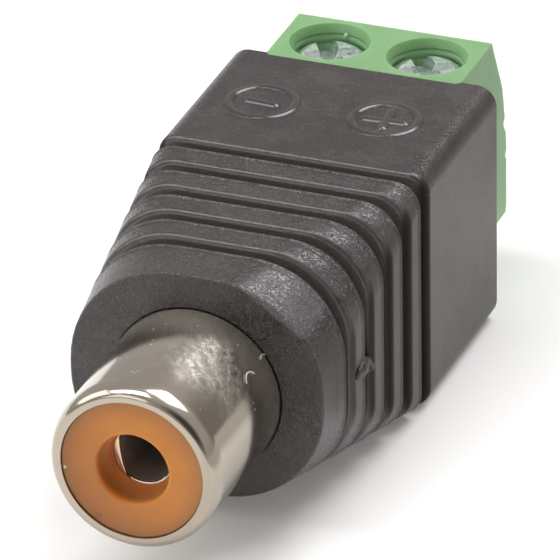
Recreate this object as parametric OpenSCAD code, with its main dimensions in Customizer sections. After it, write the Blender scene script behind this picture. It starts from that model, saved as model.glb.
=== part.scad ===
// Inline phono socket with a two way screw terminal block, all sizes in millimetres.
// The origin is the centre of the socket's mouth. The socket points along -Y, the wires
// leave along +Y, the two screws face +Z and the housing stands on its underside at -Z.

/* [Socket] */
// outside diameter of the plated barrel that the plug slides over
barrel_d = 8.4; // [8.3:0.05:8.6]
// outside diameter of the rounded lip at the mouth
lip_d = 8.2; // [8.1:0.05:8.4]
// wall of the barrel
barrel_wall = 0.36; // [0.3:0.01:0.48]
// length of barrel that stands out of the housing
barrel_reach = 8.26; // [7:0.02:10]
// bore in the insulator that the plug's pin enters
pin_bore_d = 3.5; // [3.5:0.05:3.6]
// set-back of the insulator's face behind the rim
insulator_recess = 0.12; // [0.06:0.02:0.2]

/* [Housing] */
// half of the width at the rear block
block_half_w = 6.82; // [6.7:0.02:7.2]
// top face above the socket's axis
block_top = 6.0; // [6:0.1:6.4]
// underside below the socket's axis
block_bottom = -6.5; // [-7:0.1:-6.5]
// corner radius at the rear block
block_corner = 1.0; // [0.7:0.1:1.2]
// half of the width at the nose
nose_half_w = 6.32; // [6.2:0.02:6.6]
// top of the nose
nose_top = 5.92; // [5.8:0.02:6]
// underside of the nose
nose_bottom = -5.52; // [-5.9:0.02:-5.5]
// corner radius at the nose, which is nearly round
nose_corner = 5.5; // [5:0.1:5.6]
// front edge of the rear block
block_front = 21.03; // [20:0.01:22]
// rear face of the housing
block_rear = 31.0; // [30.9:0.05:31.2]
// distance from one groove to the next
groove_pitch = 2.32; // [2.2:0.01:2.4]
// width of a groove
groove_w = 0.85; // [0.7:0.05:1]
// depth of a groove
groove_depth = 0.6; // [0.5:0.05:0.65]
// bevel on the edges of the ribs
rib_bevel = 0.13; // [0.08:0.01:0.2]

/* [Terminal block] */
// distance between the two screws
pitch = 5.0; // [5:0.02:5.1]
// half of the block's width
green_half_w = 5.0; // [5:0.02:5.1]
// underside of the block
green_bottom = -4.2; // [-4.4:0.1:-4.1]
// screw axis behind the mouth
screw_y = 33.05; // [33:0.05:33.1]
// diameter of a screwdriver well at the top
well_d = 4.0; // [3.9:0.05:4.1]
// diameter of a screw's head
head_d = 3.44; // [3.3:0.02:3.48]
// diameter of a screw's shank
shank_d = 2.5; // [2.4:0.02:2.5]
// turn of the left screw's slot from the X axis
left_turn = 120; // [0:1:180]
// turn of the right screw's slot from the X axis
right_turn = 125; // [0:1:180]

/* [Hidden] */
$fn = 96;

// Facets round a full corner circle of the tapered sections.
loft_fn = 48;
// Thickness of the slices that a tapered section is drawn between.
slice = 0.01;
// Gap between fixed pieces that only touch.
seat = 0.02;
eps = 0.05;

// Socket
barrel_r = barrel_d / 2;
lip_r = lip_d / 2;
barrel_inner_r = barrel_r - barrel_wall;
grip_r = barrel_r - 0.2;
rim_inner_r = 3.48;
rim_depth = 0.36;
flange_r = 4.5;
flange_front = 10.3;
flange_back = 11.1;
bore_land = 1.4;
bore_edge_r = 0.18;
contact_front = 1.55;
contact_outer_r = 1.58;
contact_inner_r = 1.38;
contact_base = 8.6;
contact_back = 9.5;
contact_room_r = 1.95;
insulator_face_t = 2.8;
insulator_tube_r = 2.7;
boss_r = 2.4;
boss_back = 13.0;
stem_r = 0.6;
tail_back = 15.6;
tag_y = flange_back + seat;
tag_t = 0.4;
tag_lug_z = -3.75;
tag_lug_back = 15.8;
tail_half_w = 0.55;
tail_half_t = 0.2;

// Housing
nose_recess = 0.4;
gap = 0.07;
cavity_r = 4.55;
pocket_front = 24.4;
rail_z = -0.2;
rail_t = 0.6;
notch_bevel = 0.2;
first_rib_front = block_front - 4 * groove_pitch;

// Terminal block
green_front = 30.7;
green_bevel = 0.22;
spigot_half_w = 4.4;
spigot_top = 4.6;
spigot_front = pocket_front + 0.05;
seat_z = 4.0;
well_low_r = 1.8;
well_mouth_h = 0.4;
chamber_half = 1.75;
chamber_top = 3.5;
chamber_bottom = -3.45;
floor_hole_r = shank_d / 2 + 0.1;
entry_half = 1.35;
entry_low = -2.95;
entry_high = -0.25;
entry_mouth = 0.35;
head_top = 5.35;
head_edge_r = 0.5;
slot_half_w = 0.5;
slot_depth = 0.7;
cross_half_len = 1.25;
cross_half_w = 0.4;
cross_depth = 0.8;
recess_floor_half_w = 0.2;
shank_bevel = 0.3;
cage_half = 1.7;
cage_low = -3.4;
cage_high = 1.2;
cage_top_t = 0.7;
cage_floor_t = 0.5;
cage_window_half = 1.25;
rail_half_w = 1.15;
rail_tail_half_w = 0.8;
rail_rear = 34.7;
rail_shoulder = 31.4;
rail_tail_front = 22.6;
wire_r = 0.5;
solder_r = 0.8;
// Gap between a link and the metal that it is soldered to.
solder_gap = 0.06;
// Depth by which solder runs short of the metal under it.
solder_skin = 0.01;

// Side profile of the green block behind the housing, as [y, z].
green_profile = [
  [green_front, block_top], [35.4, block_top], [36.9, 2.95], [37.06, 2.3], [37.28, 1.05],
  [37.1, 0.86], [37.1, 0.7], [37.42, 0.2], [37.5, -0.55], [37.5, -0.8], [37.34, -0.98],
  [37.34, -1.12], [37.5, -1.32], [37.5, -3.8], [37.34, green_bottom],
  [green_front, green_bottom]
];

// Values that run in a straight line from the nose to the rear block.
function run(y) = (y - barrel_reach) / (block_front - barrel_reach);
function blend(a, b, y) = a + (b - a) * run(y);
function half_w_at(y) = blend(nose_half_w, block_half_w, y);
function top_at(y) = blend(nose_top, block_top, y);
function bottom_at(y) = blend(nose_bottom, block_bottom, y);
function corner_at(y) = blend(nose_corner, block_corner, y);

// Housing outline in the X-Z plane: a rectangle with round corners.
module outline(half_w, top, bottom, r) {
  flat_x = half_w - r;
  translate([-flat_x, bottom])
    square([2 * flat_x, top - bottom]);
  translate([-half_w, bottom + r])
    square([2 * half_w, top - bottom - 2 * r]);
  for (x = [-flat_x, flat_x])
    for (z = [bottom + r, top - r])
      translate([x, z])
        circle(r = r);
}

// Draws a flat shape of the X-Z plane from y0 back to y1.
module along_y(y0, y1) {
  translate([0, y1, 0])
    rotate([90, 0, 0])
      linear_extrude(y1 - y0)
        children();
}

// Round piece about the Y axis, from a profile of [radius, y].
module turned(fn = 96) {
  rotate([-90, 0, 0])
    rotate_extrude($fn = fn)
      children();
}

// One slice of the tapering outer form, moved in from its surface by inset.
module form_slice(y, inset) {
  r = max(corner_at(y) - inset, 0.3);
  along_y(y, y + slice)
    outline(half_w_at(y) - inset, top_at(y) - inset, bottom_at(y) + inset, r, $fn = loft_fn);
}

// A rib or the nose: its outline tapers from y0 to y1 and both edges are bevelled.
module form_section(y0, y1) {
  hull() {
    form_slice(y0, rib_bevel);
    form_slice(y0 + rib_bevel, 0);
    form_slice(y1 - rib_bevel, 0);
    form_slice(y1 - slice, rib_bevel);
  }
}

// The rear block keeps its outline, apart from the bevel on its front edge.
module rear_block() {
  hull() {
    form_slice(block_front, rib_bevel);
    form_slice(block_front + rib_bevel, 0);
    along_y(block_rear - slice, block_rear)
      outline(block_half_w, block_top, block_bottom, block_corner, $fn = loft_fn);
  }
}

// The floor of the five grooves, one tapering core.
module groove_core() {
  hull() {
    form_slice(barrel_reach + 1, groove_depth);
    form_slice(block_front + 1, groove_depth);
  }
}

module housing() {
  color([0.12, 0.115, 0.115])
    difference() {
      union() {
        form_section(barrel_reach, first_rib_front - groove_w);
        for (i = [0:3])
          form_section(first_rib_front + i * groove_pitch,
            first_rib_front + (i + 1) * groove_pitch - groove_w);
        rear_block();
        groove_core();
      }
      // seat of the barrel, a little wider at the nose
      turned() {
        square([barrel_r + gap, barrel_reach + nose_recess]);
        square([grip_r + seat, flange_front + eps]);
      }
      // round cavity for the flange, the sleeve and the soldered ends
      turned()
        translate([0, flange_front - seat])
          square([cavity_r, pocket_front - flange_front + 2 * seat]);
      // pocket for the front half of the terminal block
      translate([-spigot_half_w - eps, pocket_front, green_bottom - seat])
        cube([2 * spigot_half_w + 2 * eps, block_rear - pocket_front + eps,
          spigot_top - green_bottom + eps + seat]);
      // shallow notch in the rear face, where the green block starts
      translate([0, 0, green_bottom - seat])
        linear_extrude(block_top - green_bottom + 1)
          polygon([
            [-green_half_w - seat, block_rear + eps],
            [-green_half_w - seat, green_front + notch_bevel],
            [-green_half_w + notch_bevel, green_front - seat],
            [green_half_w - notch_bevel, green_front - seat],
            [green_half_w + seat, green_front + notch_bevel],
            [green_half_w + seat, block_rear + eps]
          ]);
    }
}

// Point where two circles meet that touch from outside, all as [radius, y].
function touch(c0, r0, c1, r1) = c0 + (c1 - c0) * r0 / (r0 + r1);

// Plated barrel: flat rim, rounded lip, shallow neck, soft shoulder, straight length, flange.
module barrel_profile() {
  rim_edge_r = 0.06;
  lip_edge_r = 0.35;
  lip_crest = 0.15;
  neck_depth = 0.08;
  neck_curve_r = 1.0;
  shoulder_r = 0.8;
  lip_x = lip_r - lip_edge_r;
  neck_x = lip_r - neck_depth + neck_curve_r;
  shoulder_x = barrel_r - shoulder_r;
  // the neck's circle touches both the lip's and the shoulder's
  lip_c = [lip_x, lip_edge_r + lip_crest];
  neck_c = [neck_x,
    lip_c[1] + sqrt(pow(lip_edge_r + neck_curve_r, 2) - pow(neck_x - lip_x, 2))];
  shoulder_c = [shoulder_x,
    neck_c[1] + sqrt(pow(shoulder_r + neck_curve_r, 2) - pow(neck_x - shoulder_x, 2))];
  difference() {
    union() {
      // rim and lip
      translate([rim_inner_r + rim_edge_r, rim_edge_r])
        circle(r = rim_edge_r, $fn = 32);
      translate([rim_inner_r + rim_edge_r, 0])
        square([lip_x - rim_inner_r - rim_edge_r, lip_c[1]]);
      translate([rim_inner_r, rim_edge_r])
        square([lip_x - rim_inner_r, lip_c[1] - rim_edge_r]);
      translate([lip_x, lip_edge_r])
        circle(r = lip_edge_r, $fn = 64);
      translate(lip_c)
        circle(r = lip_edge_r, $fn = 64);
      translate([rim_inner_r, lip_edge_r])
        square([lip_r - rim_inner_r, lip_crest]);
      // neck
      difference() {
        polygon([
          [rim_inner_r, lip_edge_r], [lip_x, lip_edge_r], lip_c,
          touch(lip_c, lip_edge_r, neck_c, neck_curve_r),
          touch(shoulder_c, shoulder_r, neck_c, neck_curve_r),
          shoulder_c, [rim_inner_r, shoulder_c[1]]
        ]);
        translate(neck_c)
          circle(r = neck_curve_r, $fn = 128);
      }
      // shoulder and straight length
      translate(shoulder_c)
        circle(r = shoulder_r, $fn = 128);
      translate([barrel_inner_r, shoulder_c[1]])
        square([barrel_r - barrel_inner_r, barrel_reach - 0.06 - shoulder_c[1]]);
      // slimmer where the housing holds it
      translate([barrel_inner_r, barrel_reach - 0.1])
        square([grip_r - barrel_inner_r, flange_front - barrel_reach + 0.2]);
      translate([barrel_inner_r, flange_front])
        square([flange_r - barrel_inner_r, flange_back - flange_front]);
    }
    // the rim alone reaches in over the insulator, and only as far as its edge
    square([rim_inner_r, rim_depth + eps]);
    translate([0, rim_depth])
      square([barrel_inner_r, flange_back]);
  }
}

module barrel() {
  color([0.72, 0.70, 0.67])
    turned(160)
      barrel_profile();
}

// Orange insert: a thick face, a tube round the contact, a rear disc and a boss behind it.
module insulator() {
  body_r = barrel_inner_r - seat;
  base_hole_r = contact_outer_r + seat;
  hold = contact_base - 0.2;
  edge_x = pin_bore_d / 2 + bore_edge_r;
  color([0.80, 0.50, 0.20])
    turned(128) {
      // face, with a rounded edge round the bore
      translate([edge_x, insulator_recess])
        square([rim_inner_r - seat - edge_x, 1]);
      translate([edge_x, insulator_recess + bore_edge_r])
        circle(r = bore_edge_r, $fn = 48);
      translate([pin_bore_d / 2, insulator_recess + bore_edge_r])
        square([bore_edge_r + eps, bore_land - insulator_recess - bore_edge_r]);
      translate([edge_x, rim_depth + seat])
        square([body_r - edge_x, bore_land - rim_depth - seat]);
      // room for the leaves to spread
      translate([contact_room_r, bore_land - eps])
        square([body_r - contact_room_r, insulator_face_t - bore_land + eps]);
      translate([contact_room_r, insulator_face_t - eps])
        square([insulator_tube_r - contact_room_r, hold - insulator_face_t + 2 * eps]);
      // the contact's base is held in a closer hole
      translate([base_hole_r, hold])
        square([insulator_tube_r - base_hole_r, contact_back + eps - hold]);
      translate([stem_r + seat, contact_back + seat])
        square([body_r - stem_r - seat, flange_back - contact_back - 2 * seat]);
      translate([stem_r + seat, contact_back + seat])
        square([boss_r - stem_r - seat, boss_back - contact_back - seat]);
    }
}

// Sprung contact with four leaves, a stem through the boss and a flat tail.
module centre_contact() {
  slit_w = 0.16;
  slit_back = 7.4;
  color([0.78, 0.77, 0.74])
    union() {
      difference() {
        union() {
          turned(64)
            difference() {
              square([contact_outer_r, contact_back]);
              square([contact_outer_r, contact_front]);
            }
          turned(48)
            square([stem_r, boss_back + 0.1]);
        }
        turned(64)
          square([contact_inner_r, contact_base]);
        for (a = [55, 145])
          rotate([0, -a, 0])
            translate([-3, 0, -slit_w / 2])
              cube([6, slit_back, slit_w]);
      }
      translate([-tail_half_w, boss_back, -tail_half_t])
        cube([2 * tail_half_w, tail_back - boss_back, 2 * tail_half_t]);
    }
}

// Ring on the boss against the flange, with a lug that runs back under the contact.
module ground_tag() {
  lug_half_w = 0.7;
  color([0.74, 0.68, 0.52])
    union() {
      turned(64)
        translate([boss_r + 0.03, tag_y])
          square([3.9 - boss_r - 0.03, tag_t]);
      difference() {
        translate([-lug_half_w, tag_y, tag_lug_z])
          cube([2 * lug_half_w, tag_lug_back - tag_y, tag_t]);
        translate([0, 14.9, tag_lug_z - 1])
          cylinder(r = 0.3, h = 2, $fn = 32);
      }
    }
}

// Tube between the flange and the terminal block, which holds the socket forward.
module retaining_sleeve() {
  color([0.85, 0.84, 0.80])
    turned()
      translate([3.95, tag_y])
        square([cavity_r - 0.05 - 3.95, spigot_front - seat - tag_y]);
}

// Straight insulated link between two soldered ends.
module link(a, b) {
  d = b - a;
  len = norm(d);
  tilt = acos(d[2] / len);
  turn = atan2(d[1], d[0]);
  translate(a)
    rotate([0, tilt, turn])
      cylinder(r = wire_r, h = len, $fn = 32);
}

contact_end = [0.05, 15.0, tail_half_t + wire_r + solder_gap];
tag_end = [-0.1, 15.2, tag_lug_z + tag_t + wire_r + solder_gap];
plus_end = [pitch / 2, 23.7, rail_z + rail_t + wire_r + solder_gap];
minus_end = [-pitch / 2, 23.7, rail_z - wire_r - solder_gap];

module wire_plus() {
  color([0.70, 0.08, 0.07])
    link(contact_end, plus_end);
}

module wire_minus() {
  color([0.06, 0.06, 0.07])
    link(tag_end, minus_end);
}

// Ball of solder round the end of a link, cut back by the pieces it wets.
module solder(p) {
  color([0.66, 0.67, 0.68])
    difference() {
      translate(p)
        sphere(r = solder_r, $fn = 40);
      children();
    }
}

module solder_contact() {
  solder(contact_end) {
    link(contact_end, plus_end);
    translate([-2, boss_back, -2])
      cube([4, 4, 2 + tail_half_t + solder_skin]);
  }
}

module solder_tag() {
  solder(tag_end) {
    link(tag_end, minus_end);
    translate([-2, 12, tag_lug_z - 2])
      cube([4, 6, 2 + tag_t + solder_skin]);
  }
}

module solder_rail_plus() {
  solder(plus_end) {
    link(contact_end, plus_end);
    translate([0, 22, rail_z - 2 + rail_t + solder_skin])
      cube([5, spigot_front - 22, 2]);
    translate([0, spigot_front - seat, -3])
      cube([5, 3, 6]);
  }
}

module solder_rail_minus() {
  solder(minus_end) {
    link(tag_end, minus_end);
    translate([-5, 22, rail_z - solder_skin])
      cube([5, spigot_front - 22, 2]);
    translate([-5, spigot_front - seat, -3])
      cube([5, 3, 6]);
  }
}

// Everything that one pole takes out of the green block.
module pole_cut() {
  // screwdriver well with a tapered mouth; the cutter runs on 1 mm above the top
  mouth_slope = (well_d / 2 - well_low_r) / well_mouth_h;
  translate([0, screw_y, block_top - well_mouth_h])
    cylinder(r1 = well_low_r, r2 = well_d / 2 + mouth_slope, h = well_mouth_h + 1);
  translate([0, screw_y, seat_z])
    cylinder(r = well_low_r, h = block_top - seat_z);
  translate([0, screw_y, seat_z - 2])
    cylinder(r = floor_hole_r, h = 3, $fn = 64);
  // chamber of the cage
  translate([-chamber_half, screw_y - chamber_half, chamber_bottom])
    cube([2 * chamber_half, 2 * chamber_half, chamber_top - chamber_bottom]);
  // wire entry with a flared mouth
  translate([-entry_half, screw_y, entry_low])
    cube([2 * entry_half, 6, entry_high - entry_low]);
  hull() {
    translate([-entry_half - entry_mouth, 37.45, entry_low - entry_mouth])
      cube([2 * entry_half + 2 * entry_mouth, 1, entry_high - entry_low + 2 * entry_mouth]);
    translate([-entry_half, 36.9, entry_low])
      cube([2 * entry_half, 1, entry_high - entry_low]);
  }
  // slot of the rail
  translate([-rail_tail_half_w - seat, spigot_front - 1, rail_z - seat])
    cube([2 * rail_tail_half_w + 2 * seat, screw_y - spigot_front, rail_t + 2 * seat]);
}

module terminal_block() {
  color([0.33, 0.60, 0.33])
    difference() {
      union() {
        // full section behind the housing, with small bevels on its front corners
        intersection() {
          translate([-green_half_w, 0, 0])
            rotate([90, 0, 90])
              linear_extrude(2 * green_half_w)
                polygon(green_profile);
          translate([0, 0, green_bottom - 1])
            linear_extrude(block_top - green_bottom + 2)
              polygon([
                [-green_half_w, 40],
                [-green_half_w, green_front + green_bevel],
                [-green_half_w + green_bevel, green_front],
                [green_half_w - green_bevel, green_front],
                [green_half_w, green_front + green_bevel],
                [green_half_w, 40]
              ]);
        }
        // lower section inside the housing
        translate([-spigot_half_w, spigot_front, green_bottom])
          cube([2 * spigot_half_w, green_front - spigot_front + eps, spigot_top - green_bottom]);
      }
      for (x = [-pitch / 2, pitch / 2])
        translate([x, 0, 0])
          pole_cut();
    }
}

// Recess of a screw's head: a trough with slanted walls, drawn along Y.
module recess(half_len, top_half_w, depth) {
  over = 0.5;
  slope = (top_half_w - recess_floor_half_w) / depth;
  translate([0, half_len, head_top - depth])
    rotate([90, 0, 0])
      linear_extrude(2 * half_len)
        polygon([
          [-recess_floor_half_w, 0], [recess_floor_half_w, 0],
          [top_half_w + slope * over, depth + over], [-top_half_w - slope * over, depth + over]
        ]);
}

// Pan head screw with a slot and a shorter cross in its head.
module screw(turn) {
  head_r = head_d / 2;
  shank_low = rail_z + rail_t + seat;
  color([0.72, 0.74, 0.75])
    difference() {
      union() {
        translate([0, 0, seat_z + seat])
          rotate_extrude($fn = 72) {
            square([head_r, head_top - head_edge_r - seat_z - seat]);
            square([head_r - head_edge_r, head_top - seat_z - seat]);
            translate([head_r - head_edge_r, head_top - head_edge_r - seat_z - seat])
              circle(r = head_edge_r, $fn = 48);
          }
        translate([0, 0, shank_low + shank_bevel])
          cylinder(d = shank_d, h = seat_z - shank_low, $fn = 64);
        translate([0, 0, shank_low])
          cylinder(r1 = shank_d / 2 - shank_bevel, r2 = shank_d / 2, h = shank_bevel, $fn = 64);
      }
      rotate([0, 0, turn - 90]) {
        recess(head_r + 1, slot_half_w, slot_depth);
        rotate([0, 0, 90])
          recess(cross_half_len, cross_half_w, cross_depth);
      }
    }
}

module screw_minus() {
  translate([-pitch / 2, screw_y, 0])
    screw(left_turn);
}

module screw_plus() {
  translate([pitch / 2, screw_y, 0])
    screw(right_turn);
}

// Rising cage: a square tube that the screw lifts, drawn fully open.
module cage() {
  color([0.70, 0.71, 0.70])
    difference() {
      translate([-cage_half, -cage_half, cage_low])
        cube([2 * cage_half, 2 * cage_half, cage_high - cage_low]);
      translate([-cage_window_half, -3, cage_low + cage_floor_t])
        cube([2 * cage_window_half, 6, cage_high - cage_low - cage_floor_t - cage_top_t]);
      cylinder(d = shank_d + 0.1, h = 3, $fn = 64);
    }
}

module cage_minus() {
  translate([-pitch / 2, screw_y, 0])
    cage();
}

module cage_plus() {
  translate([pitch / 2, screw_y, 0])
    cage();
}

// Fixed contact bar above the wire, with a slimmer tail in the housing.
module rail() {
  color([0.72, 0.58, 0.30])
    union() {
      translate([-rail_half_w, rail_shoulder, rail_z])
        cube([2 * rail_half_w, rail_rear - rail_shoulder, rail_t]);
      translate([-rail_tail_half_w, rail_tail_front, rail_z])
        cube([2 * rail_tail_half_w, rail_rear - rail_tail_front, rail_t]);
    }
}

module rail_minus() {
  translate([-pitch / 2, 0, 0])
    rail();
}

module rail_plus() {
  translate([pitch / 2, 0, 0])
    rail();
}

housing();
barrel();
insulator();
centre_contact();
ground_tag();
retaining_sleeve();
wire_plus();
wire_minus();
solder_contact();
solder_tag();
solder_rail_plus();
solder_rail_minus();
terminal_block();
screw_minus();
screw_plus();
cage_minus();
cage_plus();
rail_minus();
rail_plus();
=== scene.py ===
# %% [markdown]
# # A phono socket with screw terminals
#
# This lesson dresses a small connector: a plated socket in a ribbed black housing, with a
# green screw terminal block behind it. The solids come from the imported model. Blender adds
# what they leave out: soft mould edges, the raised signs, wear, and finished materials.

import math

import bmesh
import bpy
from mathutils import Matrix, Vector


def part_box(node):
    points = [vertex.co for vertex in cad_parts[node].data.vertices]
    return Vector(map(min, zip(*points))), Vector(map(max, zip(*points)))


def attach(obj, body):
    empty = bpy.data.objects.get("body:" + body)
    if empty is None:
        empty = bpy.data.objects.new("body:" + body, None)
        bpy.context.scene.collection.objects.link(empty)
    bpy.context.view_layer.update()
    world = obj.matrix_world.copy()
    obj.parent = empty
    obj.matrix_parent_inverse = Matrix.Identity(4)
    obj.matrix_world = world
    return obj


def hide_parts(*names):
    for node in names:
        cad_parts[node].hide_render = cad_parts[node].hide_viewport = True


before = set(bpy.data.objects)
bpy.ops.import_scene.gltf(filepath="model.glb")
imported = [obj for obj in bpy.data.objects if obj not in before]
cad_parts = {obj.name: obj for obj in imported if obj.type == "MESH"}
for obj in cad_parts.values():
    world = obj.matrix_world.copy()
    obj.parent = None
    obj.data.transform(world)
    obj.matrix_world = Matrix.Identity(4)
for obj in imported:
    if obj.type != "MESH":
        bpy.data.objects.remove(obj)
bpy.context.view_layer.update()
MM = 0.001
BODY = "adaptor"
print("nodes:", sorted(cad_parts))

# %% [markdown]
# ## The camera
#
# A small product is photographed from far away with a long lens, so that its edges run nearly
# parallel. A pinhole camera is only a place, three directions and a focal length. Those were
# fitted to the edges of the object, so the camera is written down as a matrix instead of
# being aimed by eye.

# %% Camera
# the camera's own axes in the model's frame, and its place in millimetres
RIGHT = Vector((0.93573886, 0.35247283, -0.01247729))
UP = Vector((-0.15522473, 0.44333887, 0.88281138))
BACK = Vector((0.31669869, -0.82414413, 0.46956191))
PLACE = Vector((135.2636, -332.6866, 200.7567)) * MM
FOCAL_PX = 9000.0
IMAGE_PX = 560
SENSOR_MM = 36.0

camera_data = bpy.data.cameras.new("camera")
camera_data.sensor_width = SENSOR_MM
camera_data.lens = FOCAL_PX / IMAGE_PX * SENSOR_MM
camera_data.clip_start = 0.01
camera_data.clip_end = 20.0
camera = bpy.data.objects.new("camera", camera_data)
bpy.context.scene.collection.objects.link(camera)
rows = [(RIGHT[i], UP[i], BACK[i], PLACE[i]) for i in range(3)] + [(0, 0, 0, 1)]
camera.matrix_world = Matrix(rows)
bpy.context.scene.camera = camera
print("lens", round(camera_data.lens, 1), "mm at", round(PLACE.length, 3), "m")

# %% [markdown]
# ## Hands for edit mode
#
# Every new piece is modelled as by hand: add a primitive, go into edit mode, select some of it
# and apply an operator. The pieces are drawn in millimetres, because the numbers stay easy to
# read, and are scaled to metres once at the end, with the scale applied to the mesh, so that
# the object itself stays at the origin.


# %% Starting, selecting and settling a piece
# points nearer than this, in millimetres, are taken to be at the same place
NEAR = 0.003


def start(name):
    """Names the primitive just added and opens it in edit mode."""
    piece = bpy.context.object
    piece.name = name
    piece.data.name = name
    bpy.ops.object.transform_apply(location=True, rotation=True, scale=True)
    bpy.ops.object.mode_set(mode="EDIT")
    bpy.ops.mesh.select_mode(type="VERT")
    return piece


def clear_selection():
    """Deselects everything, because an operator acts on all that is selected."""
    bpy.ops.object.select_all(action="DESELECT")


def pick(piece, wanted):
    """Selects the vertices for which wanted(place) is true, and what lies between them."""
    mesh = bmesh.from_edit_mesh(piece.data)
    for vertex in mesh.verts:
        vertex.select = False
    mesh.select_flush(False)
    count = 0
    for vertex in mesh.verts:
        if wanted(vertex.co):
            vertex.select = True
            count += 1
    mesh.select_flush(True)
    bmesh.update_edit_mesh(piece.data)
    return count


def only(piece):
    """Makes a piece the active one and the only one selected."""
    clear_selection()
    piece.select_set(True)
    bpy.context.view_layer.objects.active = piece


def modify(piece, kind, **settings):
    """Adds a modifier, sets it and applies it."""
    only(piece)
    modifier = piece.modifiers.new(kind.lower(), kind)
    for key, value in settings.items():
        setattr(modifier, key, value)
    bpy.ops.object.modifier_apply(modifier=modifier.name)


def settle(piece):
    """Scales a piece drawn in millimetres to metres, in its mesh."""
    only(piece)
    piece.scale = (MM, MM, MM)
    bpy.ops.object.transform_apply(location=True, rotation=True, scale=True)


def smooth(piece, degrees):
    """Smooth shading, with flat faces kept flat by weighting normals with face area."""
    only(piece)
    bpy.ops.object.shade_smooth_by_angle(angle=math.radians(degrees))
    modify(piece, "WEIGHTED_NORMAL", keep_sharp=True, weight=80)


def report(piece):
    """Prints how fine a piece is, and its size in millimetres."""
    mesh = piece.data
    mesh.calc_loop_triangles()
    size = [round(value / MM, 2) for value in piece.dimensions]
    print(piece.name, len(mesh.vertices), "vertices,", len(mesh.loop_triangles), "triangles,", size)


def smooth_and_settle(piece, degrees):
    """Closes a piece that was drawn in millimetres, finishes it and prints its size."""
    bpy.ops.object.mode_set(mode="OBJECT")
    smooth(piece, degrees)
    settle(piece)
    report(piece)


print("modelling helpers ready")

# %% [markdown]
# ## The housing: one form through many sections
#
# The housing is a single black moulding. At the nose its section is nearly round, at the rear
# block it is a rectangle with small corners, and in between five grooves are cut all round.
# A cylinder that is squashed or a cube with a taper would miss that change of form. Boat
# builders draw such a hull as a row of sections, and that is the way here: each section is a
# plane whose corners are bevelled to the radius that the form has there, its face is deleted,
# and the loops are bridged one after the other. A groove is two loops further in.
#
# A mould never gives a knife edge. Seen close, each rib carries a line of light along its
# rounded front edge, so that edge is seven loops on a quarter circle. Along its rear edge the
# mould's parts met, which left a low bead with a shallow dip beside it: a few loops more.

# %% The law of the sections
# along Y in millimetres: the nose's face, the start of the plain rear block, the rear face
NOSE_Y, BLOCK_Y, REAR_Y = 8.26, 21.03, 31.0
# each measure of a section, as it is at the nose and at the block
HALF_WIDTH, TOP, BOTTOM, CORNER = (6.32, 6.82), (5.92, 6.0), (-5.52, -6.5), (5.5, 1.0)
# no corner gets sharper than the first, and each is drawn in so many steps
LEAST_CORNER, CORNER_STEPS = 0.35, 14
GROOVES, PITCH, GROOVE, DEPTH = 5, 2.32, 0.85, 0.6
# how far the front and the rear wall of a groove lean into it
FRONT_LEAN, REAR_LEAN = 0.03, 0.02
# radius and steps of the rounded edges: the ribs' fronts most, the nose and the rear face less
RIB_ROUND, NOSE_ROUND, REAR_ROUND = (0.27, 6), (0.13, 4), (0.12, 3)
# the rear edge of each rib: a shallow dip and a low bead, as distance and inset
FLASH = [
    (0.85, 0.0), (0.60, -0.012), (0.45, -0.006), (0.32, 0.018), (0.22, 0.024), (0.16, 0.010),
    (0.08, -0.026), (0.04, -0.030), (0.01, -0.012), (0.0, 0.03),
]


def measure(ends, y):
    """A measure at y, on the straight line from the nose to the block."""
    nose, block = ends
    return nose + (block - nose) * min((y - NOSE_Y) / (BLOCK_Y - NOSE_Y), 1.0)


def section(y, inset):
    """Half width, top, bottom and corner radius of the form at y."""
    half = measure(HALF_WIDTH, y) - inset
    top = measure(TOP, y) - inset
    bottom = measure(BOTTOM, y) + inset
    corner = max(measure(CORNER, y) - inset, LEAST_CORNER)
    return half, top, bottom, corner


def rounded(y, radius, steps):
    """Sections from a front face at y out to the full form, over a quarter circle."""
    turns = [math.pi / 2 * i / steps for i in range(steps + 1)]
    return [(y + radius * (1 - math.cos(a)), radius * (1 - math.sin(a))) for a in turns]


groove_fronts = [BLOCK_Y - GROOVE - i * PITCH for i in range(GROOVES)][::-1]
loops = rounded(NOSE_Y, *NOSE_ROUND)
for front in groove_fronts:
    loops += [(front - before, inset) for before, inset in FLASH]
    loops += [(front + FRONT_LEAN, DEPTH), (front + GROOVE - REAR_LEAN, DEPTH)]
    loops += rounded(front + GROOVE, *RIB_ROUND)
loops += [(2 * REAR_Y - y, inset) for y, inset in rounded(REAR_Y, *REAR_ROUND)[::-1]]
print(len(loops), "sections from", loops[0], "to", loops[-1])


# %% Drawing and bridging the sections
def draw_loop(y, inset):
    """Adds one section to the open piece, as a loop of edges."""
    half, top, bottom, corner = section(y, inset)
    middle = (0.0, y, (top + bottom) / 2)
    bpy.ops.mesh.primitive_plane_add(size=2.0, location=middle, rotation=(math.pi / 2, 0, 0))
    bpy.ops.transform.resize(value=(half, 1.0, (top - bottom) / 2), center_override=middle)
    bpy.ops.mesh.bevel(
        offset=corner, segments=CORNER_STEPS, affect="VERTICES", clamp_overlap=False
    )
    bpy.ops.mesh.delete(type="ONLY_FACE")


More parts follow.
